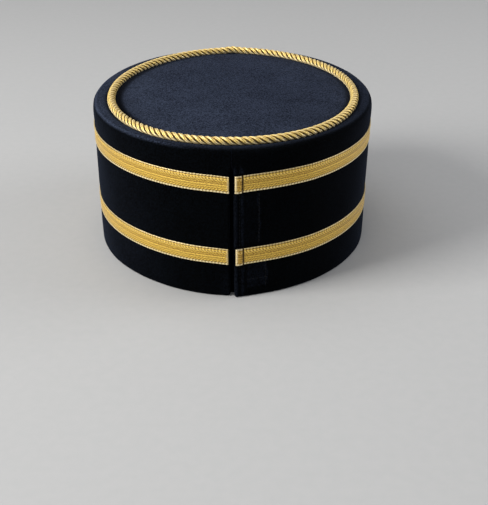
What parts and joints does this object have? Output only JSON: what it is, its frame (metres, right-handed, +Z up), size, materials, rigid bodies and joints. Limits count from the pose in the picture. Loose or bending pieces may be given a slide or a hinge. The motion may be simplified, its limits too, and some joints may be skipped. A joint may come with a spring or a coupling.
{
  "type": "ceremonial crown cap",
  "caption": "Stiff oval pillbox cap of dark velvet with a flat top, a twisted gold cord round the top, gold braid bands round the wall and a back opening.",
  "frame": {"origin": "on the surface the cap rests on, under the middle of its box", "axes": "+Z up, the wearer faces -Y, the back opening is at +Y and the wearer's left is at +X"},
  "size_m": [0.18, 0.2093, 0.0967],
  "materials": {
    "wall_velvet": "dark navy cotton velvet, pile brushed down the wall",
    "top_velvet": "dark navy cotton velvet laid flat",
    "gold_cord": "twisted cord of gold metallic thread",
    "gold_braid": "woven braid of gold metallic thread",
    "underlap_cloth": "black plain-woven cloth"
  },
  "bodies": {
    "root": {"side_wall": "wall_velvet", "top_panel": "top_velvet", "crown_cord": "gold_cord", "upper_galon": "gold_braid", "lower_galon": "gold_braid", "back_underlap": "underlap_cloth"}
  },
  "joints": []
}
